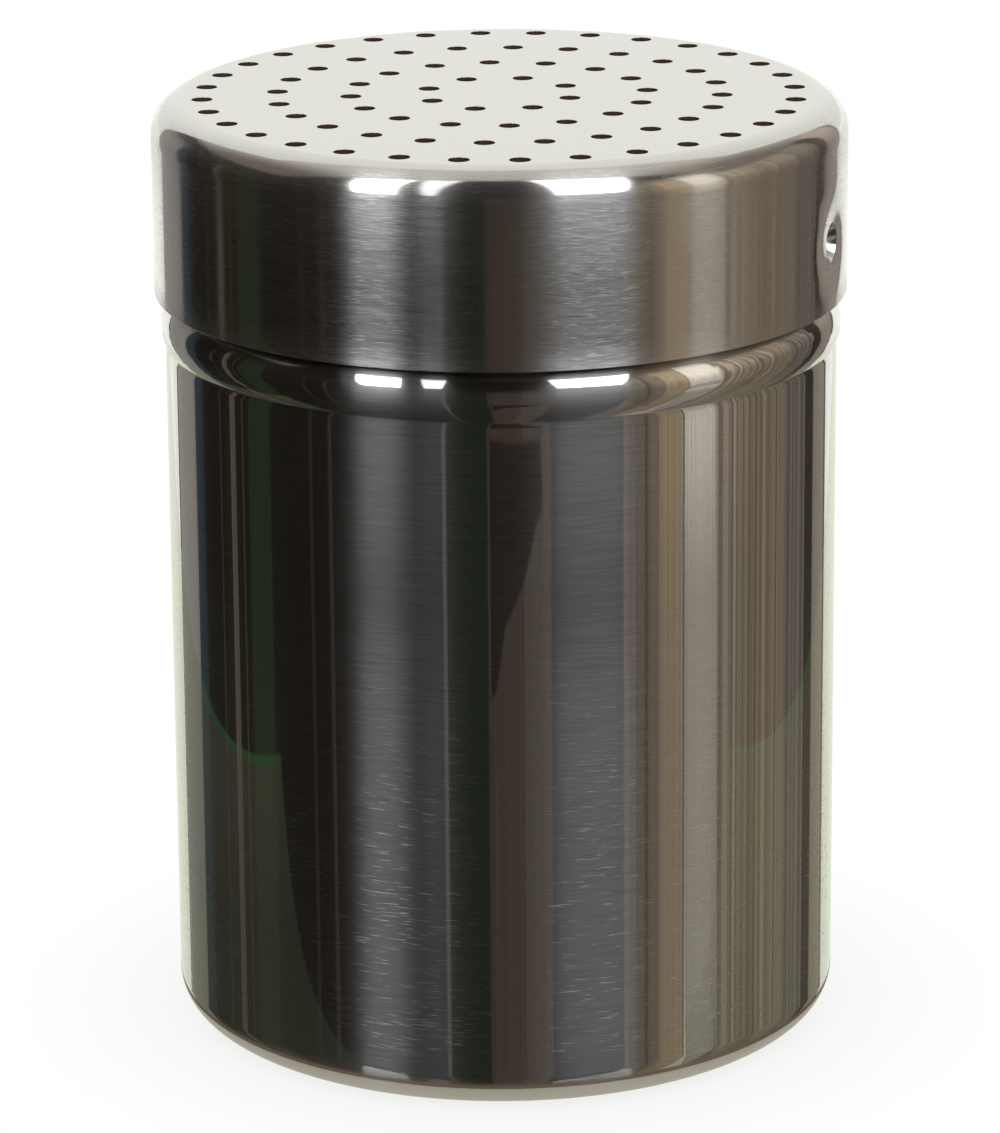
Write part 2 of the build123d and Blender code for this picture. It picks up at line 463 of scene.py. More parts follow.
# %% Read the place on a piece
def read_place(tree):
    """The place as sockets: point, normal, height, radius, direction outwards and facing up."""
    source = node(tree, "ShaderNodeTexCoord")
    point, normal = source.outputs["Object"], source.outputs["Normal"]
    parts = node(tree, "ShaderNodeSeparateXYZ", {0: point})
    level = node(tree, "ShaderNodeCombineXYZ",
                 {"X": parts.outputs["X"], "Y": parts.outputs["Y"]}).outputs[0]
    return {
        "point": point,
        "normal": normal,
        "height": parts.outputs["Z"],
        "radius": node(tree, "ShaderNodeVectorMath", {0: level},
                       operation="LENGTH").outputs["Value"],
        "outward": vector_calc(tree, "NORMALIZE", level),
        "facing_up": node(tree, "ShaderNodeSeparateXYZ", {0: normal}).outputs["Z"],
    }


print("a finish can follow the point, normal, height, radius, outward and facing_up")

# %% [markdown]
# ## Two kinds of pattern
# A profile over the height is a colour ramp, because a ramp holds many stops in one node. Streaks
# round the axis are a noise that reads the direction outwards, scaled up, and the height, scaled
# up much more. Its grains are long round the axis and thin across it, and no seam shows, because
# the direction comes back to itself after a turn.

# %% Profiles and streaks
def by_height(tree, height, levels):
    """A value that runs in straight lines between pairs of height and value."""
    share = calc(tree, "DIVIDE", height, TOTAL_HEIGHT)
    ramp = node(tree, "ShaderNodeValToRGB", {"Fac": share})
    stops = ramp.color_ramp.elements
    while len(stops) < len(levels):
        stops.new(1.0)
    for stop, (at, value) in zip(stops, levels):
        stop.position = at / TOTAL_HEIGHT
        stop.color = (value, value, value, 1.0)
    return ramp.outputs["Color"]


def stretched(tree, outward, across, size, seed):
    """Noise whose grains are about size[0] long round the axis and size[1] wide, in metres."""
    length, width = size
    scaled = vector_calc(tree, "SCALE", outward, BODY_RADIUS / length)
    lift = node(tree, "ShaderNodeCombineXYZ",
                {"Z": calc(tree, "MULTIPLY_ADD", across, 1.0 / width, seed)}).outputs[0]
    place = vector_calc(tree, "ADD", scaled, lift)
    return node(tree, "ShaderNodeTexNoise",
                {"Vector": place, "Scale": 1.0, "Detail": 1.0, "Roughness": 0.5}).outputs["Fac"]


print("streaks on the cup are", round(CUP_FINISH["grain"][0] / CUP_FINISH["grain"][1]),
      "times as long as wide")

# %% [markdown]
# ## Streaks and scratches
# Fine and broad streaks make the share a little uneven. Where a third noise is high there is a
# single scratch. Clouds a centimetre wide bend all the lines slightly up and down, and gather the
# scratches in places.

# %% Make the marks uneven
CLOUD_SCALE = 90.0                  # clouds per metre
CLOUD_DETAIL = 3.0
CLOUD_LIFT = 1.2 * MM               # how far they bend the lines
CLOUD_GATHER = 0.25                 # how strongly they gather the scratches
BROAD_GRAIN = (6.0 * MM, 0.5 * MM)
BROAD_WEIGHT = 0.5                  # of the broad streaks beside the fine ones
NOISE_MIDDLE = 0.5
FINE_SEED, BROAD_SEED, SCRATCH_SEED = 3.0, 29.0, 17.0
SCRATCH_EDGE = 0.08                 # noise from the edge of a scratch to its full depth


def streaks(tree, place, across, finish):
    """Fine streaks plus a part of the broad ones, less their middle."""
    fine = stretched(tree, place["outward"], across, finish["grain"], FINE_SEED)
    broad = stretched(tree, place["outward"], across, BROAD_GRAIN, BROAD_SEED)
    both = calc(tree, "MULTIPLY_ADD", broad, BROAD_WEIGHT, fine)
    return calc(tree, "SUBTRACT", both, NOISE_MIDDLE * (1.0 + BROAD_WEIGHT))


def scratches(tree, place, across, cloud, finish):
    """1 in a single scratch and 0 elsewhere, and none on the corner at the base."""
    level = stretched(tree, place["outward"], across, finish["scratch"], SCRATCH_SEED)
    cloudy = calc(tree, "SUBTRACT", cloud, NOISE_MIDDLE)
    level = calc(tree, "MULTIPLY_ADD", cloudy, CLOUD_GATHER, level)
    lone = ease(tree, level, finish["rare"], finish["rare"] + SCRATCH_EDGE)
    zone = calc(tree, "MULTIPLY", ease(tree, place["height"], *finish["scratched"]),
                ease(tree, place["height"], BODY_CORNER, 2 * BODY_CORNER))
    return calc(tree, "MULTIPLY", lone, zone)


print("clouds are about", round(1.0 / CLOUD_SCALE / MM), "mm wide")

# %% [markdown]
# ## What the marks cover
# The share is the profile over the height, made uneven by the streaks, and more in a scratch. The
# lines follow height less radius, which also runs on evenly over a round corner. The flat top has
# no marks, because its polish ran the other way and shows as a clean mirror.

# %% Add up the marks
TOP_FACING = (0.8, 0.99)            # upward parts of the normal between which the marks end


def covered_share(tree, place, finish):
    """Profile times (1 + uneven streaks), plus the scratches, and none on the flat top."""
    cloud = node(tree, "ShaderNodeTexNoise", {"Vector": place["point"], "Scale": CLOUD_SCALE,
                                              "Detail": CLOUD_DETAIL}).outputs["Fac"]
    across = calc(tree, "SUBTRACT", place["height"], place["radius"])
    across = calc(tree, "MULTIPLY_ADD", cloud, CLOUD_LIFT, across)
    change = calc(tree, "MULTIPLY_ADD", streaks(tree, place, across, finish),
                  finish["uneven"], 1.0)
    share = calc(tree, "MULTIPLY", by_height(tree, place["height"], finish["marks"]), change)
    share = calc(tree, "MULTIPLY_ADD", scratches(tree, place, across, cloud, finish),
                 finish["bite"], share)
    upright = calc(tree, "SUBTRACT", 1.0, ease(tree, place["facing_up"], *TOP_FACING))
    return calc(tree, "MULTIPLY", share, upright, clamp=True)


print("a scratch covers", CUP_FINISH["bite"], "more of the cup and", CAP_FINISH["bite"],
      "more of the cap")

# %% [markdown]
# ## Where the wheel doesn't reach
# The walls of the punched holes are rough, and they are painted dark brown: a painted reflection of
# the dark inside that the holes show. The inside of both pressings is satin. The dimples are duller
# than the skirt around them, and so is the neck, which is under the cap.
# Separate materials would need an edge between faces at each of these places. The graph finds
# them by where they are and which way they face instead, so the change can be soft.

# %% Find the holes, the inside and the dimples
# Painted reflection: the dark brown of the holes' walls stands for the dark inside that they show
PAINTED_HOLE_REFLECTION = (0.20, 0.125, 0.09)
PUNCHED, SATIN, PRESSED = 0.55, 0.35, 0.22   # roughness of a hole, the inside and a dimple
HOLE_MARGIN = 0.5 * MM              # the holes stay this far inside the top's corner
HOLE_DEPTH = 1.5 * SHEET
SIDEWAYS = (0.8, 0.4)               # upward parts of the normal between which a hole's wall begins
INWARDS = (-0.1, -0.4)              # outward parts of the normal between which the inside begins
SUNK = (0.6 * MM, 1.1 * MM)         # depths between which a dimple begins


def in_the_holes(tree, place):
    """1 on the walls of the holes: inside the sheet of the flat top, and facing sideways."""
    in_plate = calc(tree, "LESS_THAN", place["radius"], CAP_RADIUS - CAP_CORNER - HOLE_MARGIN)
    in_plate = calc(tree, "MULTIPLY", in_plate,
                    calc(tree, "GREATER_THAN", place["height"], TOTAL_HEIGHT - HOLE_DEPTH))
    level = calc(tree, "ABSOLUTE", place["facing_up"])
    return calc(tree, "MULTIPLY", in_plate, ease(tree, level, *SIDEWAYS))


def on_the_inside(tree, place):
    """1 where the normal points towards the axis."""
    outward = node(tree, "ShaderNodeVectorMath", {0: place["normal"], 1: place["outward"]},
                   operation="DOT_PRODUCT").outputs["Value"]
    return ease(tree, outward, *INWARDS)


def in_the_dimples(tree, place):
    """1 deeper than the skirt, between its edge and the top's corner. The neck is there too."""
    sunk = ease(tree, place["radius"], CAP_RADIUS - SUNK[0], CAP_RADIUS - SUNK[1])
    below_top = calc(tree, "LESS_THAN", place["height"], TOTAL_HEIGHT - CAP_CORNER)
    above_edge = calc(tree, "GREATER_THAN", place["height"], CAP_EDGE_Z + SHEET)
    return calc(tree, "MULTIPLY", sunk, calc(tree, "MULTIPLY", below_top, above_edge))


def dullness(tree, place, in_hole):
    """Roughness of the mirror where the wheel doesn't reach, the largest that holds."""
    dull = calc(tree, "MAXIMUM", calc(tree, "MULTIPLY", on_the_inside(tree, place), SATIN),
                calc(tree, "MULTIPLY", in_the_dimples(tree, place), PRESSED))
    return calc(tree, "MAXIMUM", dull, calc(tree, "MULTIPLY", in_hole, PUNCHED))


print("a dimple is dull from", round(SUNK[0] / MM, 2), "mm deep on")

# %% [markdown]
# ## Waves on the bead
# Rolling leaves the bead slightly wavy, and a mirror shows it as ragged lines. The waves are far
# smaller than the mesh is fine, so they are a bump, which fades out above and below the bead.

# %% Ripple the bead
WAVE_SCALE = 260.0                  # waves per metre
WAVE_DETAIL = 2.0
BEAD_STARTS = (70.6 * MM, 71.4 * MM)
BEAD_ENDS = (76.5 * MM, 75.5 * MM)


def rippled_normal(tree, place, finish):
    """The normal, bent by a noise on the bead."""
    waves = node(tree, "ShaderNodeTexNoise", {"Vector": place["point"], "Scale": WAVE_SCALE,
                                              "Detail": WAVE_DETAIL}).outputs["Fac"]
    on_bead = calc(tree, "MULTIPLY", ease(tree, place["height"], *BEAD_STARTS),
                   ease(tree, place["height"], *BEAD_ENDS))
    return node(tree, "ShaderNodeBump",
                {"Height": calc(tree, "MULTIPLY", waves, on_bead), "Strength": 1.0,
                 "Distance": finish["ripple"]}).outputs[0]


print("waves are about", round(1.0 / WAVE_SCALE / MM, 1), "mm long")

# %% [markdown]
# ## Mirror and gloss together
# The mirror is a plain metal shader. The gloss needs two widths, along the section and round the
# axis, and its tangent is the direction round the axis. The node takes a roughness and an
# anisotropy instead of two widths, so these are worked out from them.

# %% Mix the two steels
def two_widths(tree, wide, narrow):
    """Roughness and anisotropy of a gloss with these two widths.

    For a roughness r and an anisotropy a, the widths are r squared / (1 - a) and r squared
    (1 - a). So r is the fourth root of their product, and 1 - a the root of their ratio.
    """
    product, ratio = calc(tree, "MULTIPLY", wide, narrow), calc(tree, "DIVIDE", narrow, wide)
    return {"Roughness": calc(tree, "POWER", product, 0.25),
            "Anisotropy": calc(tree, "SUBTRACT", 1.0, calc(tree, "POWER", ratio, 0.5))}


def tangent_round_axis(tree, place):
    """The level direction round the axis, which the gloss node wants in world space."""
    round_axis = vector_calc(tree, "CROSS_PRODUCT", (0.0, 0.0, 1.0), place["outward"])
    return node(tree, "ShaderNodeVectorTransform", {0: round_axis}, vector_type="VECTOR",
                convert_from="OBJECT", convert_to="WORLD").outputs[0]


def steel(name, finish):
    """A mirror mixed with a gloss that is wide along the section and narrow round the axis."""
    material, tree = empty_material(name)
    place = read_place(tree)
    in_hole = in_the_holes(tree, place)
    normal = rippled_normal(tree, place, finish)
    rough = calc(tree, "MAXIMUM", dullness(tree, place, in_hole), finish["smooth"])
    # The holes' walls get the painted reflection colour in place of the steel's own
    colour = blend_colour(tree, in_hole, STEEL_COLOUR, PAINTED_HOLE_REFLECTION)
    mirror = node(tree, "ShaderNodeBsdfPrincipled",
                  {"Base Color": colour, "Metallic": 1.0, "Roughness": rough,
                   "Normal": normal}).outputs[0]
    wide = by_height(tree, place["height"], finish["wide"])
    gloss = node(tree, "ShaderNodeBsdfAnisotropic",
                 {"Color": (*STEEL_COLOUR, 1.0), **two_widths(tree, wide, finish["narrow"]),
                  "Tangent": tangent_round_axis(tree, place), "Normal": normal},
                 distribution="GGX").outputs[0]
    share = calc(tree, "MULTIPLY", covered_share(tree, place, finish),
                 calc(tree, "SUBTRACT", 1.0, in_hole))
    both = node(tree, "ShaderNodeMixShader", {0: share, 1: mirror, 2: gloss}).outputs[0]
    node(tree, "ShaderNodeOutputMaterial", {"Surface": both})
    return material


body_steel = steel("body_steel", CUP_FINISH)
cap_steel = steel("cap_steel", CAP_FINISH)
print("steel is ready:", body_steel.name, cap_steel.name)

# %% [markdown]
# ## The cup
# The cup is one turned surface from the middle of the base, over the mouth, to the middle of the
# floor inside. The channels need narrow steps round the axis and the rest doesn't, so the angles
# are close together only there.

# %% Build the cup
CLOSE_RANGE = (-29.0, 6.0)   # degrees from a side of the lock, which hold its channel
CLOSE_POINTS = 88
WIDE_POINTS = 117


def cup_angles():
    """Angles for a whole turn, with small steps along each channel."""
    before, after = np.radians(CLOSE_RANGE)
    close = np.linspace(before, after, CLOSE_POINTS)
    wide = np.linspace(after, before + np.pi, WIDE_POINTS)
    half = np.concatenate((close[:-1], wide[:-1]))
    return np.concatenate((half, half + np.pi, [before + 2 * np.pi]))


cup_shell = make_piece("cup_shell", [turned(cup_rows, cup_angles(), channel_depth)], body_steel)
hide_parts("shaker_body")
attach(cup_shell, "cup")

# %% [markdown]
# ## The cap's top with its holes
# A flat plate with eighty round holes is hard on a plain grid. Here each ring of holes is cut
# into equal cells with one hole in the middle of each. A cell is a polar grid: its first row is
# the border of the cell, and the next rows are circles that go over the rounded edge, down the
# hole's wall and back under the plate to the border. Neighbours share the points of their
# borders, so all the cells merge into one sheet.

# %% Border of a hole's cell
RING_PITCH = 7.45 * MM
FLAT_RADIUS = CAP_RADIUS - CAP_CORNER
HOLES_PER_STEP = 8
SIDE_STEPS = 5
# Steps of a cell along its inner and outer border, for each ring; neighbouring rings agree
BORDER_STEPS = ((4, 12), (6, 18), (12, 8), (6, 12))


def cell_border(ring, inner_steps, outer_steps):
    """The border of the ring's first cell, anticlockwise, as points (x, y)."""
    half = np.pi / (ring * HOLES_PER_STEP)
    inner = (ring - 0.5) * RING_PITCH
    outer = min((ring + 0.5) * RING_PITCH, FLAT_RADIUS)
    out_angles = np.linspace(-half, half, outer_steps + 1)
    in_angles = np.linspace(half, -half, inner_steps + 1)
    inward = np.linspace(outer, inner, SIDE_STEPS + 1)[1:-1]
    radius = np.concatenate((np.full(outer_steps + 1, outer), inward,
                             np.full(inner_steps + 1, inner), inward[::-1], [outer]))
    angle = np.concatenate((out_angles, np.full(SIDE_STEPS - 1, half), in_angles,
                            np.full(SIDE_STEPS - 1, -half), [-half]))
    return np.stack((radius * np.cos(angle), radius * np.sin(angle)), axis=-1)


print("border points of a cell, by ring:",
      [len(cell_border(ring, *steps)) for ring, steps in enumerate(BORDER_STEPS, 1)])

# %% [markdown]
# A hole goes through the sheet with a small round at both edges. The section of that wall is
# walked once, as an angle of lean, and swept along the spokes from the hole's middle to the
# border's points. The cell is then turned to each hole of its ring.

# %% Cells round the holes
HOLE_RADIUS = 1.05 * MM
HOLE_EDGE = 0.06 * MM        # round of the punched edge
EDGE_LEANS = (90, 60, 30, 0)  # degrees above the level, from the top to the hole's wall


def hole_cell(ring, inner_steps, outer_steps):
    """Points and normals of one cell: border, hole edge, wall, lower edge and border again."""
    border = cell_border(ring, inner_steps, outer_steps)
    spoke = border - (ring * RING_PITCH, 0.0)
    spoke = spoke / np.linalg.norm(spoke, axis=1, keepdims=True)
    top, under = TOTAL_HEIGHT, TOTAL_HEIGHT - SHEET
    lean = np.radians(EDGE_LEANS)
    edge = np.concatenate((lean, -lean[::-1]))
    from_wall = HOLE_EDGE * (1.0 - np.cos(edge))
    middle = np.repeat((top - HOLE_EDGE, under + HOLE_EDGE), len(lean))
    heights = np.concatenate(([top], middle + HOLE_EDGE * np.sin(edge), [under]))
    rings = (ring * RING_PITCH, 0.0) + spoke[None] * (HOLE_RADIUS + from_wall)[:, None, None]
    flat = np.concatenate((border[None], rings, border[None]))
    outward = np.concatenate(([0.0], -np.cos(edge), [0.0]))
    upward = np.concatenate(([1.0], np.sin(edge), [-1.0]))
    points = np.dstack((flat, np.tile(heights[:, None], (1, len(border)))))
    normals = np.dstack((outward[:, None, None] * spoke[None],
                         np.tile(upward[:, None], (1, len(border)))))
    return points, normals


def spin(vectors, angle):
    """Vectors turned round Z by an angle."""
    cosine, sine = np.cos(angle), np.sin(angle)
    x, y, z = np.moveaxis(vectors, -1, 0)
    return np.stack((x * cosine - y * sine, x * sine + y * cosine, z), axis=-1)


def hole_ring(ring):
    """All cells of a ring: its first cell turned to each hole."""
    points, normals = hole_cell(ring, *BORDER_STEPS[ring - 1])
    count = ring * HOLES_PER_STEP
    return [patch(spin(points, 2 * np.pi * k / count), spin(normals, 2 * np.pi * k / count))
            for k in range(count)]


plate = [cell for ring in range(1, len(BORDER_STEPS) + 1) for cell in hole_ring(ring)]
print("the plate has", len(plate), "holes")

# %% [markdown]
# ## The cap's skirt
# The rest of the cap is turned: from the flat top inside, down the skirt, round its edge, up the
# outside and over the corner. Its angles are those of the plate's outer border, so that the two
# merge. Round each dimple a square window is left out of the grid, for a finer patch.

# %% Section of the skirt
ANGLE_STEPS = 384
STEP_ANGLE = 2 * np.pi / ANGLE_STEPS
SKIRT_EDGE = 0.08 * MM       # round of the cut sheet
WINDOW = 10                  # steps from the middle of a dimple to its window's edge
WINDOW_STEP = CAP_RADIUS * STEP_ANGLE


def skirt_section(inset):
    """Rows up the skirt, with the window's rows, and over the corner to the flat top."""
    radius, window = CAP_RADIUS - inset, WINDOW * WINDOW_STEP
    corner = (CAP_RADIUS - CAP_CORNER, TOTAL_HEIGHT - CAP_CORNER)
    low, high = DIMPLE_Z - window, DIMPLE_Z + window
    return np.vstack((
        line((radius, CAP_EDGE_Z + SKIRT_EDGE), (radius, low), 2)[:-1],
        line((radius, low), (radius, high), 2 * WINDOW),
        line((radius, high), (radius, corner[1]), 5)[1:],
        arc(corner, CAP_CORNER - inset, 0, 90, 16),
    ))


outer_rows = skirt_section(0.0)
inner_rows = backwards(skirt_section(SHEET))
edge_in, edge_out = CAP_RADIUS - SHEET + SKIRT_EDGE, CAP_RADIUS - SKIRT_EDGE
skirt_edge = np.vstack((
    arc((edge_in, CAP_EDGE_Z + SKIRT_EDGE), SKIRT_EDGE, -180, -90, 4),
    line((edge_in, CAP_EDGE_Z), (edge_out, CAP_EDGE_Z), 1),
    arc((edge_out, CAP_EDGE_Z + SKIRT_EDGE), SKIRT_EDGE, -90, 0, 4),
))
skirt_rows = np.vstack((inner_rows, skirt_edge[1:-1], outer_rows))
print("the skirt's section has", len(skirt_rows), "points")

# %% [markdown]
# ## The dimples
# A square grid would draw the dimple's sharp lip as a staircase. So a polar grid fills each
# window. Its first row is the window's border, point for point, and the rows after it are circles
# round the dimple, which come close together at the lip.

# %% Fill a dimple's window
DIMPLE_CIRCLES = (4.8, 4.0, 3.3, 2.8, 2.4, 2.15, 2.03, 1.97, 1.85, 1.65, 1.4, 1.1, 0.8, 0.4, 0.0)  # mm


def dimple_window(side, inset):
    """A polar grid that fills the window: its border, then circles to the middle."""
    steps = np.arange(-WINDOW, WINDOW)
    edge = np.full(2 * WINDOW, WINDOW)
    x = np.concatenate((edge, -steps, -edge, steps, [WINDOW]))
    z = np.concatenate((steps, edge, -steps, -edge, [-WINDOW]))
    turn = np.arctan2(z, x)
    circles = np.array(DIMPLE_CIRCLES)[:, None] * MM
    round_axis = np.vstack((x * WINDOW_STEP, circles * np.cos(turn)))
    upward = np.vstack((z * WINDOW_STEP, circles * np.sin(turn)))
    way = 1.0 if inset == 0.0 else -1.0
    rows = np.stack((0.0 * upward + CAP_RADIUS - inset, DIMPLE_Z + upward, 0.0 * upward,
                     0.0 * upward + way), axis=-1)
    points, normals = on_the_wall(side + round_axis / CAP_RADIUS, rows, dimple_depth)
    points, normals = (points, normals) if way > 0 else (points[:, ::-1], normals[:, ::-1])
    return patch(points, normals)


dimples = [dimple_window(side, inset) for side in SIDES for inset in (0.0, SHEET)]
print("a dimple's window has", len(dimples[0][2]), "faces")

# %% [markdown]
# ## The cap in one piece
# The skirt keeps every face that is not in a window. A disc closes the plate inside its first ring
# of cells, above and below. Plate, skirt, discs and windows then merge into one sheet.

# %% Build the cap
STRAIGHT = 0.999             # upward part of the section's direction, above which it is the skirt


def centre_disc(height, facing):
    """The middle of the plate, inside the first ring of cells, seen from one side."""
    angles = np.linspace(0, 2 * np.pi, BORDER_STEPS[0][0] * HOLES_PER_STEP + 1)
    rows = line((0.0, height), (RING_PITCH / 2, height), 2)
    return turned(rows if facing < 0 else backwards(rows), angles, no_depth)


skirt_angles = np.arange(ANGLE_STEPS + 1) * STEP_ANGLE - np.pi / 2
in_window = np.abs((skirt_rows[:-1, 1] + skirt_rows[1:, 1]) / 2 - DIMPLE_Z) < WINDOW * WINDOW_STEP
upright = np.abs(skirt_rows[:-1, 3]) > STRAIGHT
middles = skirt_angles[:-1] + STEP_ANGLE / 2
near_side = np.abs(round_the_side(middles, 1.0)) < WINDOW * STEP_ANGLE
keep_faces = ~((in_window & upright)[:, None] & near_side[None, :])
cap_patches = plate + [turned(skirt_rows, skirt_angles, dimple_depth, keep_faces),
                       centre_disc(TOTAL_HEIGHT, 1), centre_disc(TOTAL_HEIGHT - SHEET, -1)]
cap_shell = make_piece("cap_shell", cap_patches + dimples, cap_steel)
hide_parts("perforated_cap")
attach(cap_shell, "cap")

# %% [markdown]
# ## The camera
# The camera looks down at the shaker from a little over half a metre. The part's X axis goes
# through the dimples, so the camera stands off to one side, where one dimple shows beside the
# right edge of the cap. A long lens keeps the sides nearly parallel.

# %% Place the camera
CAMERA_TURN = np.radians(18.8)     # round the axis, from the part's front
CAMERA_DISTANCE = 0.5437           # from the axis, level
CAMERA_HEIGHT = 0.2146
CAMERA_SIDE = -0.0002
CAMERA_PITCH = 0.2797              # radians down
CAMERA_ROLL = 0.0076
LENS = 175.9
SHIFT_Y = -0.1002


def camera_matrix():
    """The camera's axes and place as one matrix: aimed, rolled and turned round the shaker."""
    right = np.array((1.0, 0.0, 0.0))
    back = np.array((0.0, -np.cos(CAMERA_PITCH), np.sin(CAMERA_PITCH)))
    up = np.cross(back, right)
    cosine, sine = np.cos(CAMERA_ROLL), np.sin(CAMERA_ROLL)
    axes = (cosine * right - sine * up, sine * right + cosine * up, back)
    place = np.array((CAMERA_SIDE, -CAMERA_DISTANCE, CAMERA_HEIGHT))
    columns = np.array([spin(v, CAMERA_TURN) for v in (*axes, place)]).T
    return Matrix(np.vstack((columns, (0.0, 0.0, 0.0, 1.0))).tolist())


camera_data = bpy.data.cameras.new("camera")
camera_data.lens = LENS
camera_data.shift_y = SHIFT_Y
camera_data.clip_start = 0.01
camera_data.clip_end = 20.0
camera = bpy.data.objects.new("camera", camera_data)
camera.matrix_world = camera_matrix()
bpy.context.scene.collection.objects.link(camera)
bpy.context.scene.camera = camera
print("camera at", tuple(round(v, 3) for v in camera.location))

# %% [markdown]
# ## The room that the steel mirrors
# A polished cylinder squeezes the whole room into upright strips, so the room is written as
# strips round the horizon: what stands there, where it starts and how bright it is. Azimuth 0 is
# the camera and positive goes to its right. The backdrop behind the shaker is pale.

# %% List the strips
BACKDROP = (1.25, 1.26, 1.21)
BLACK = (0.0095, 0.0075, 0.006)
LEFT_STRIPS = (
    (-180.0, BACKDROP),
    (-149.0, (0.07, 0.06, 0.05)),       # edge of the backdrop
    (-147.5, (0.31, 0.29, 0.27)),       # grey wall
    (-130.3, (0.018, 0.034, 0.050)),    # blue cloth
    (-124.0, BLACK),
    (-113.0, (0.07, 0.05, 0.035)),      # door frame
    (-112.0, BLACK),
    (-106.5, (0.13, 0.10, 0.075)),      # hanging cable
    (-103.5, BLACK),
    (-100.5, (0.06, 0.045, 0.035)),
    (-99.5, BLACK),
    (-97.0, (0.021, 0.031, 0.016)),     # green cupboard
    (-86.0, BLACK),
    (-69.0, (0.030, 0.024, 0.020)),
    (-68.2, BLACK),
    (-61.2, (0.045, 0.035, 0.028)),
    (-60.2, BLACK),
    (-34.0, (0.024, 0.024, 0.026)),
    (-20.6, (0.11, 0.105, 0.095)),      # rod of a stand
    (-19.4, (0.016, 0.022, 0.013)),
    (-5.5, (0.068, 0.051, 0.040)),      # brown box under the camera
)
RIGHT_STRIPS = (
    (0.0, (0.068, 0.051, 0.040)),
    (7.0, (0.095, 0.077, 0.064)),
    (15.5, (0.03, 0.03, 0.034)),
    (41.0, (0.143, 0.123, 0.093)),      # grey cabinet
    (49.2, (0.07, 0.058, 0.048)),
    (50.0, (0.175, 0.140, 0.108)),
    (54.5, (0.33, 0.25, 0.17)),         # wooden board
    (63.3, (0.07, 0.055, 0.04)),
    (64.4, (0.71, 0.66, 0.575)),        # pale door
    (77.0, (0.28, 0.235, 0.185)),       # curtain
    (88.0, (0.205, 0.168, 0.125)),
    (113.0, (0.15, 0.13, 0.11)),
    (127.0, BLACK),
    (134.0, (0.30, 0.25, 0.21)),
    (145.5, (0.03, 0.025, 0.02)),
    (147.5, BACKDROP),
)
print(len(LEFT_STRIPS) + len(RIGHT_STRIPS), "strips round the room")

# %% [markdown]
# The strips go into a colour ramp over the azimuth that doesn't blend. A ramp holds no more than
# 32 stops, so each side of the room has one of its own.

# %% Strips as a node graph
HALF_TURN = 180.0


def strip_ramp(tree, azimuth, strips):
    """A colour ramp that holds each strip from its start to the next, over half the horizon."""
    first = strips[0][0]
    share = calc(tree, "DIVIDE", calc(tree, "SUBTRACT", azimuth, first), HALF_TURN)
    ramp = node(tree, "ShaderNodeValToRGB", {"Fac": share})
    ramp.color_ramp.interpolation = "CONSTANT"
    stops = ramp.color_ramp.elements
    while len(stops) < len(strips):
        stops.new(1.0)
    for stop, (start, colour) in zip(stops, strips):
        stop.position = (start - first) / HALF_TURN
        stop.color = (*colour, 1.0)
    return ramp.outputs["Color"]


print("stops on the left and right:", len(LEFT_STRIPS), len(RIGHT_STRIPS))

# %% [markdown]
# ## Which way a ray looks
# The world is coloured by the direction of a mirrored ray. The direction is turned so that
# azimuth 0 is the camera. Pitch runs over the top: 0 is level to the front, 90 straight up and
# 180 level to the back.

# %% Read the direction
def read_direction(tree):
    """The direction as sockets: parts to the right, ahead and up, and two angles in degrees."""
    direction = node(tree, "ShaderNodeMapping",
                     {"Vector": node(tree, "ShaderNodeTexCoord").outputs["Generated"],
                      "Rotation": (0.0, 0.0, -float(CAMERA_TURN))}).outputs[0]
    across, behind, upward = node(tree, "ShaderNodeSeparateXYZ", {0: direction}).outputs
    ahead = calc(tree, "MULTIPLY", behind, -1.0)
    return {
        "across": across,
        "ahead": ahead,
        "upward": upward,
        "azimuth": calc(tree, "DEGREES", calc(tree, "ARCTAN2", across, ahead)),
        "pitch": calc(tree, "DEGREES", calc(tree, "ARCTAN2", upward, ahead)),
    }


print("the room can follow across, ahead, upward, azimuth and pitch")

# %% [markdown]
# ## Light and shade on the walls
# Even strips would look drawn with a ruler. Noise over the azimuth gives the curtain its folds
# and all the strips fine upright lines. The strips to the right also get brighter upwards.

# %% Shade the strips
CURTAIN = (77.0, 127.0)             # azimuth of its sides
FOLDS_PER_DEGREE = 0.42
FOLD_NOISE = (0.3, 0.7)             # noise levels that become the dark and the bright of a fold
FOLD_SHADE = (0.45, 1.55)
LINES_PER_DEGREE = 1.3
LINES_SEED = 400.0
LINE_DARK, LINE_GROWTH = 0.3, 1.4   # brightness at noise 0, and what is added at noise 1
TO_RIGHT = (35.0, 45.0)             # azimuths between which the brighter right side begins
LIT_HEIGHT = (-0.1, 0.3)            # upward part of the direction over which it gets brighter
LIT_MORE = 1.2


def upright_noise(tree, position):
    """Noise over one number, with grains about 1 long."""
    return node(tree, "ShaderNodeTexNoise",
                {"W": position, "Scale": 1.0, "Detail": 2.0, "Roughness": 0.7},
                noise_dimensions="1D").outputs["Fac"]


def fold_shade(tree, azimuth):
    """Brightness of the curtain's folds, and 1 beside the curtain."""
    folds = upright_noise(tree, calc(tree, "MULTIPLY", azimuth, FOLDS_PER_DEGREE))
    shade = node(tree, "ShaderNodeMapRange",
                 {"Value": folds, "From Min": FOLD_NOISE[0], "From Max": FOLD_NOISE[1],
                  "To Min": FOLD_SHADE[0], "To Max": FOLD_SHADE[1]}).outputs[0]
    in_curtain = calc(tree, "MULTIPLY", calc(tree, "GREATER_THAN", azimuth, CURTAIN[0]),
                      calc(tree, "LESS_THAN", azimuth, CURTAIN[1]))
    return calc(tree, "MULTIPLY_ADD", calc(tree, "SUBTRACT", shade, 1.0), in_curtain, 1.0)


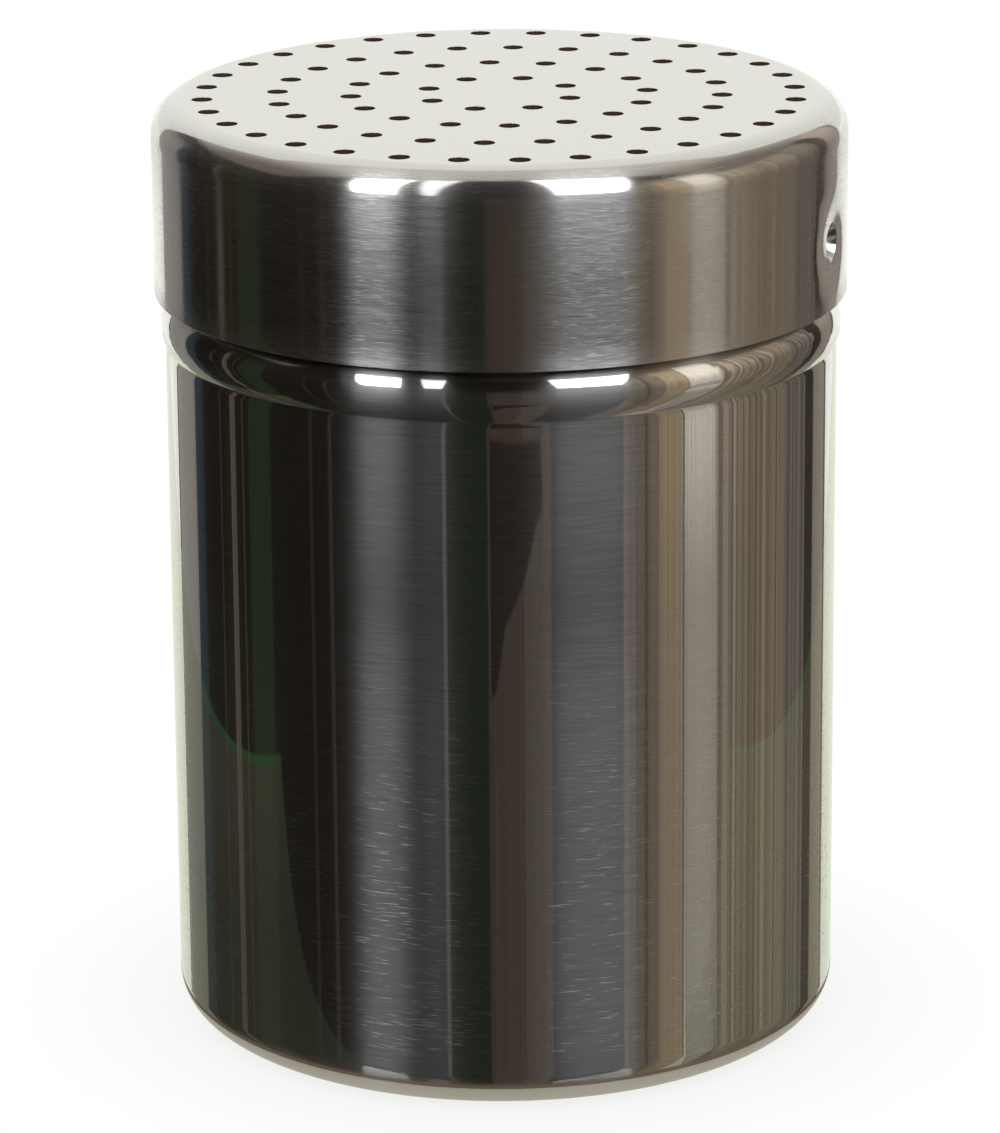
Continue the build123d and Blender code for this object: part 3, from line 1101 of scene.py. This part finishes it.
def shaded_strips(tree, look, to_right):
    """The strips times the folds, the fine lines and the growth upwards on the right."""
    azimuth = look["azimuth"]
    lines = upright_noise(tree, calc(tree, "MULTIPLY_ADD", azimuth, LINES_PER_DEGREE, LINES_SEED))
    lines = calc(tree, "MULTIPLY_ADD", lines, LINE_GROWTH, LINE_DARK)
    lift = calc(tree, "MULTIPLY", to_right, ease(tree, look["upward"], *LIT_HEIGHT))
    shade = calc(tree, "MULTIPLY", calc(tree, "MULTIPLY", fold_shade(tree, azimuth), lines),
                 calc(tree, "MULTIPLY_ADD", lift, LIT_MORE, 1.0))
    strips = blend_colour(tree, calc(tree, "GREATER_THAN", azimuth, 0.0),
                          strip_ramp(tree, azimuth, LEFT_STRIPS),
                          strip_ramp(tree, azimuth, RIGHT_STRIPS))
    return vector_calc(tree, "SCALE", strips, shade)


print("a fold of the curtain is about", round(1.0 / FOLDS_PER_DEGREE, 1), "degrees wide")

# %% [markdown]
# ## Ceiling and backdrop
# Above the strips the front of the room is dark. The ceiling starts overhead and is pale in the
# middle. It ends at the backdrop, which is a little darker above the horizon than its strips are.

# %% Put the room together
WALL_TOP = 0.15                    # upward part of the direction where the strips begin to end
WALL_TOP_RIGHT = 0.30              # how much higher that is on the right
WALL_FADE = 0.25
CEILING = (0.78, 0.74, 0.68)
CEILING_SIDE = (0.20, 0.165, 0.135)
CEILING_MIDDLE = (0.35, 0.75)      # sideways part of the direction from its middle to its side
CEILING_HEIGHT = (0.42, 0.52)      # upward part of the direction over which it begins
CEILING_PITCH = (70.0, 80.0)       # and the pitch
BACKDROP_HIGH = (1.04, 1.05, 1.00)
BACKDROP_PITCH = 118.0             # it ends at this pitch
BACKDROP_HALF_WIDTH = 0.52         # sine of the angle from the middle of the backdrop to its side


def room(tree, look):
    """The colour of the room in each direction, without its lamps."""
    to_right = ease(tree, look["azimuth"], *TO_RIGHT)
    wall_top = calc(tree, "MULTIPLY_ADD", to_right, WALL_TOP_RIGHT, WALL_TOP)
    above = ease(tree, calc(tree, "SUBTRACT", look["upward"], wall_top), 0.0, WALL_FADE)
    walls = blend_colour(tree, above, shaded_strips(tree, look, to_right), BLACK)
    sideways = calc(tree, "ABSOLUTE", look["across"])
    ceiling = blend_colour(tree, ease(tree, sideways, *CEILING_MIDDLE), CEILING, CEILING_SIDE)
    over = calc(tree, "MULTIPLY", ease(tree, look["upward"], *CEILING_HEIGHT),
                ease(tree, look["pitch"], *CEILING_PITCH))
    seen = blend_colour(tree, over, walls, ceiling)
    in_backdrop = calc(tree, "MULTIPLY", calc(tree, "LESS_THAN", sideways, BACKDROP_HALF_WIDTH),
                       calc(tree, "GREATER_THAN", look["pitch"], BACKDROP_PITCH))
    return blend_colour(tree, in_backdrop, seen, BACKDROP_HIGH)


print("the backdrop is", round(2 * float(np.degrees(np.arcsin(BACKDROP_HALF_WIDTH)))),
      "degrees wide")

# %% [markdown]
# ## Soft lamps
# Three lamps hang in front of the shaker and lean over it. They are drawn on a plane that faces
# the shaker from half way up: v runs up that plane and u across it. A lamp's sides lean outwards
# on the way down, which is what the mirrored bars on the cap's corner show.

# %% Lamps on a leaning plane
LAMP_PITCH = np.radians(47.0)
LAMP_LIGHT = (4.8, 4.9, 5.07)
LAMP_BOTTOM, LAMP_TOP = -0.42, 0.52
# Left and right side of each lamp, as u at the middle and its change per unit of v, and its power
LAMPS = (
    ((-0.935, 0.447), (-0.555, 0.340), 1.12),
    ((-0.392, 0.168), (-0.298, 0.248), 0.48),
    ((0.252, -0.225), (0.738, -0.322), 0.86),
)
LAMP_EDGE = 0.025
LEAST_DEPTH = 0.001                # keeps the division finite for rays that leave the plane


def lamp_share(tree, look):
    """The power of a lamp inside it and 0 outside, with a soft edge.

    A direction meets the plane at u = across / depth and v = rise / depth, where depth and rise
    are its parts along the plane's normal and up the plane.
    """
    cosine, sine = float(np.cos(LAMP_PITCH)), float(np.sin(LAMP_PITCH))
    ahead, upward = look["ahead"], look["upward"]
    depth = calc(tree, "ADD", calc(tree, "MULTIPLY", ahead, cosine),
                 calc(tree, "MULTIPLY", upward, sine))
    near = calc(tree, "MAXIMUM", depth, LEAST_DEPTH)
    rise = calc(tree, "SUBTRACT", calc(tree, "MULTIPLY", upward, cosine),
                calc(tree, "MULTIPLY", ahead, sine))
    u, v = calc(tree, "DIVIDE", look["across"], near), calc(tree, "DIVIDE", rise, near)
    height = calc(tree, "MULTIPLY", ease(tree, v, LAMP_BOTTOM - LAMP_EDGE, LAMP_BOTTOM),
                  ease(tree, v, LAMP_TOP + LAMP_EDGE, LAMP_TOP))
    total = 0.0
    for (left, left_lean), (right, right_lean), power in LAMPS:
        from_left = calc(tree, "SUBTRACT", u, calc(tree, "MULTIPLY_ADD", v, left_lean, left))
        from_right = calc(tree, "SUBTRACT", calc(tree, "MULTIPLY_ADD", v, right_lean, right), u)
        inside = calc(tree, "MULTIPLY", ease(tree, from_left, -LAMP_EDGE, 0.0),
                      ease(tree, from_right, -LAMP_EDGE, 0.0))
        total = calc(tree, "MULTIPLY_ADD", inside, power, total)
    return calc(tree, "MULTIPLY", total, height)


print(len(LAMPS), "lamps")

# %% [markdown]
# ## The world
# The lamps cover the room behind them. The camera itself sees only white, as a cut-out on paper.

# %% Build the world
WHITE = (1.0, 1.0, 1.0)
world = bpy.data.worlds.new("studio")
world.use_nodes = True
world_tree = world.node_tree
world_tree.nodes.clear()
look = read_direction(world_tree)
lamps = lamp_share(world_tree, look)
unlit = calc(world_tree, "SUBTRACT", 1.0, lamps, clamp=True)
mirrored_room = vector_calc(world_tree, "ADD",
                            vector_calc(world_tree, "SCALE", room(world_tree, look), unlit),
                            vector_calc(world_tree, "SCALE", LAMP_LIGHT, lamps))
to_camera = node(world_tree, "ShaderNodeLightPath").outputs["Is Camera Ray"]
sky = blend_colour(world_tree, to_camera, mirrored_room, WHITE)
light = node(world_tree, "ShaderNodeBackground", {"Color": sky, "Strength": 1.0})
node(world_tree, "ShaderNodeOutputWorld", {"Surface": light.outputs[0]})
bpy.context.scene.world = world
print("world nodes:", len(world_tree.nodes))

# %% [markdown]
# ## Level sheets under the shaker
# The camera looks down, so the upright wall mirrors what lies low around the shaker. That is built
# from level sheets, some thousandths of a millimetre apart or less, of which a ray meets the
# highest first. The wall turns a ray aside by twice the angle at which it stands, so a sheet that
# is to show as an upright bar on the wall has to be a wedge on the floor.

# %% Outlines on the floor
DISC_CORNERS = 96


def rectangle(left, right, front, back):
    """Corners of a level rectangle."""
    return np.array(((left, front), (right, front), (right, back), (left, back)))


def disc(radius):
    """Corners of a level disc round the axis."""
    angles = np.linspace(0, 2 * np.pi, DISC_CORNERS, endpoint=False)
    return radius * np.stack((np.cos(angles), np.sin(angles)), axis=-1)


def mirrored_floor(azimuths, reaches):
    """The floor points that the wall mirrors at these azimuths and distances from the wall.

    A ray that the wall sends to azimuth a leaves it at half of a.
    """
    turn, reach = np.radians(azimuths), np.array(reaches)
    return np.stack((BODY_RADIUS * np.sin(turn / 2) + reach * np.sin(turn),
                     -BODY_RADIUS * np.cos(turn / 2) - reach * np.cos(turn)), axis=-1)


def wedge(start, end, near, far):
    """The floor that the wall mirrors between two azimuths, near to far from the wall."""
    return mirrored_floor((start, start, end, end), (near, far, far, near))


def flat_stage(name, outline, height, material, turn=0.0):
    """A level sheet with this outline, turned round Z, that belongs to the studio."""
    corners = np.column_stack((outline, np.full(len(outline), height)))
    mesh = bpy.data.meshes.new(name)
    mesh.from_pydata(spin(corners, turn).tolist(), [], [tuple(range(len(corners)))])
    mesh.materials.append(material)
    made = bpy.data.objects.new(name, mesh)
    bpy.context.scene.collection.objects.link(made)
    return made


print("a wedge 0.1 m deep straight ahead:", wedge(-5.0, 5.0, 0.0, 0.1).round(3).tolist())

# %% [markdown]
# ## White paper
# To the camera the floor is plain white paper with a soft shadow where the shaker stands. Mirrored
# rays go through it, because the wall is to mirror the sheets that lie below.

# %% Lay the paper
FLOOR_SIZE = 4.0
PAPER_Z = -0.010 * MM
SHADOW_REACH = 0.02
SHADOW_SAMPLES = 16
SHADOW_COLOUR = (0.84, 0.84, 0.83)


def shown_to(tree, rays, shader):
    """Ends a stage material: rays of this kind see the shader, and all others go through."""
    clear = node(tree, "ShaderNodeBsdfTransparent").outputs[0]
    chosen = node(tree, "ShaderNodeLightPath").outputs[rays]
    shown = node(tree, "ShaderNodeMixShader", {0: chosen, 1: clear, 2: shader})
    node(tree, "ShaderNodeOutputMaterial", {"Surface": shown.outputs[0]})


def paper():
    """White to the camera, with a soft contact shadow, and open to mirrored rays."""
    material, tree = empty_material("white_paper")
    openness = node(tree, "ShaderNodeAmbientOcclusion", {"Distance": SHADOW_REACH},
                    samples=SHADOW_SAMPLES).outputs["AO"]
    colour = blend_colour(tree, openness, SHADOW_COLOUR, WHITE)
    white = node(tree, "ShaderNodeEmission", {"Color": colour}).outputs[0]
    shown_to(tree, "Is Camera Ray", white)
    return material


half_floor = FLOOR_SIZE / 2
floor = flat_stage("paper_floor", rectangle(-half_floor, half_floor, -half_floor, half_floor),
                   PAPER_Z, paper())
print("paper:", floor.name, FLOOR_SIZE, "m wide")

# %% [markdown]
# ## Light and dark at the foot
# A pale disc under the shaker stands out a little all round, and shows as a ring in the lowest
# part of the wall. A brown disc below it is wider by a thin line. Straight ahead lies a dark
# shape. These sheets glow in their own colour, and only mirrored rays see them.

# %% Lay the glowing sheets
FOOT_RADIUS = 0.0348
FOOT_LINE_RADIUS = 0.0363
DARK_OUTLINE = mirrored_floor((-4.1, -4.1, 12.8, 13.5, 11.4, 7.2, 0.7, -2.8),
                              (0.130, 0.245, 0.245, 0.210, 0.203, 0.177, 0.158, 0.130))
camera_turn = float(CAMERA_TURN)
# Name, outline, height, colour and turn of each
GLOWING_SHEETS = (
    ("foot_light", disc(FOOT_RADIUS), -0.013 * MM, (0.56, 0.54, 0.45), 0.0),
    ("foot_line", disc(FOOT_LINE_RADIUS), -0.014 * MM, (0.16, 0.105, 0.075), 0.0),
    ("dark_patch", DARK_OUTLINE, -0.015 * MM, (0.014, 0.012, 0.010), camera_turn),
)


def glowing(name, colour):
    """A material that only mirrored rays see, with this colour."""
    material, tree = empty_material(name)
    glow = node(tree, "ShaderNodeEmission", {"Color": (*colour, 1.0)}).outputs[0]
    shown_to(tree, "Is Glossy Ray", glow)
    return material


for name, outline, height, colour, turn in GLOWING_SHEETS:
    flat_stage(name, outline, height, glowing(name, colour), turn)
print("glowing sheets:", [sheet[0] for sheet in GLOWING_SHEETS])

# %% [markdown]
# ## Shade on the right
# The pale door and the strips beside it are darker low down. Wedges of thin shade dim what
# mirrored rays see through them. A shade comes in softly with the distance from the axis: two of
# them towards the shaker, and the one at the door's foot away from it.

# %% Lay the shades
# Name and wedge, height, share of light that is left, and the distances from no shade to full
SHADES = (
    ("door_shade", (64.4, 77.0, -0.004, 0.40), -0.0160 * MM, 0.55, (0.280, 0.180)),
    ("door_foot", (64.4, 77.0, 0.20, 0.50), -0.0165 * MM, 0.50, (0.275, 0.305)),
    ("side_shade", (46.0, 96.0, -0.004, 0.40), -0.0170 * MM, 0.80, (0.280, 0.180)),
)


def shading(name, least, reach):
    """Lets mirrored rays through undimmed at reach[0] from the axis, and least of them at reach[1]."""
    material, tree = empty_material(name)
    away = node(tree, "ShaderNodeVectorMath", {0: node(tree, "ShaderNodeTexCoord").outputs["Object"]},
                operation="LENGTH").outputs["Value"]
    dimmed = calc(tree, "MULTIPLY_ADD", ease(tree, away, *reach), least - 1.0, 1.0)
    mirrored = node(tree, "ShaderNodeLightPath").outputs["Is Glossy Ray"]
    dimmed = calc(tree, "MULTIPLY_ADD", calc(tree, "SUBTRACT", dimmed, 1.0), mirrored, 1.0)
    tint = node(tree, "ShaderNodeCombineXYZ", {"X": dimmed, "Y": dimmed, "Z": dimmed}).outputs[0]
    clear = node(tree, "ShaderNodeBsdfTransparent", {"Color": tint}).outputs[0]
    node(tree, "ShaderNodeOutputMaterial", {"Surface": clear})
    return material


for name, corners, height, least, reach in SHADES:
    flat_stage(name, wedge(*corners), height, shading(name, least, reach), camera_turn)
print("shades:", [shade[0] for shade in SHADES])

# %% [markdown]
# ## Glass plate
# The shaker stands at the front edge of a glass plate, a quarter of a metre wide, which lies
# below all the other sheets. It mirrors the room faintly at a flat angle. It also glows with
# painted light: a grey-green veil that is brighter towards its sides, and green along its side
# edges.

# %% Lay the plate
PLATE_LEFT, PLATE_RIGHT = -0.123, 0.125
PLATE_FRONT, PLATE_BACK = -0.037, 0.26
PLATE_Z = -0.020 * MM
PLATE_BORDER = 0.005
GLASS_TINT = (0.78, 0.82, 0.70, 1.0)
GLASS_ROUGHNESS = 0.03
GLASS_IOR = 1.6
# Painted light: colours that the plate glows with, though it is no lamp
VEIL_MIDDLE = (0.027, 0.031, 0.022)
VEIL_SIDE = (0.062, 0.060, 0.042)
VEIL_BORDER = (0.02, 0.085, 0.035)
VEIL_TO_RIGHT = (0.0, 0.10)        # metres across, over which the veil gets brighter
VEIL_TO_LEFT = (-0.06, -0.11)
VEIL_LEFT_PART = 0.6               # how much of that brightness the left side gets


def plate_glass():
    """Clear glass with a glowing grey-green veil of painted light to mirrored rays, green along its
    side edges.
    """
    material, tree = empty_material("plate_glass")
    place = node(tree, "ShaderNodeMapping",
                 {"Vector": node(tree, "ShaderNodeTexCoord").outputs["Object"],
                  "Rotation": (0.0, 0.0, -float(CAMERA_TURN))}).outputs[0]
    across = node(tree, "ShaderNodeSeparateXYZ", {0: place}).outputs["X"]
    middle = (PLATE_LEFT + PLATE_RIGHT) / 2
    from_middle = calc(tree, "ABSOLUTE", calc(tree, "SUBTRACT", across, middle))
    border = ease(tree, from_middle, PLATE_RIGHT - middle - PLATE_BORDER,
                  PLATE_RIGHT - middle - PLATE_BORDER / 2)
    to_left = calc(tree, "MULTIPLY", ease(tree, across, *VEIL_TO_LEFT), VEIL_LEFT_PART)
    to_sides = calc(tree, "ADD", ease(tree, across, *VEIL_TO_RIGHT), to_left)
    veil = blend_colour(tree, to_sides, VEIL_MIDDLE, VEIL_SIDE)
    veil = blend_colour(tree, border, veil, VEIL_BORDER)
    glow = node(tree, "ShaderNodeEmission", {"Color": veil}).outputs[0]
    through = node(tree, "ShaderNodeBsdfTransparent", {"Color": GLASS_TINT}).outputs[0]
    body = node(tree, "ShaderNodeAddShader", {0: glow, 1: through}).outputs[0]
    gloss = node(tree, "ShaderNodeBsdfGlossy", {"Roughness": GLASS_ROUGHNESS}).outputs[0]
    fresnel = node(tree, "ShaderNodeFresnel", {"IOR": GLASS_IOR}).outputs[0]
    glass = node(tree, "ShaderNodeMixShader", {0: fresnel, 1: body, 2: gloss}).outputs[0]
    shown_to(tree, "Is Glossy Ray", glass)
    return material


flat_stage("glass_plate", rectangle(PLATE_LEFT, PLATE_RIGHT, PLATE_FRONT, PLATE_BACK), PLATE_Z,
           plate_glass(), camera_turn)

# %% [markdown]
# ## Colour management
# The Standard view shows a colour as it is written, without a film curve.

# %% View
bpy.context.scene.view_settings.view_transform = "Standard"
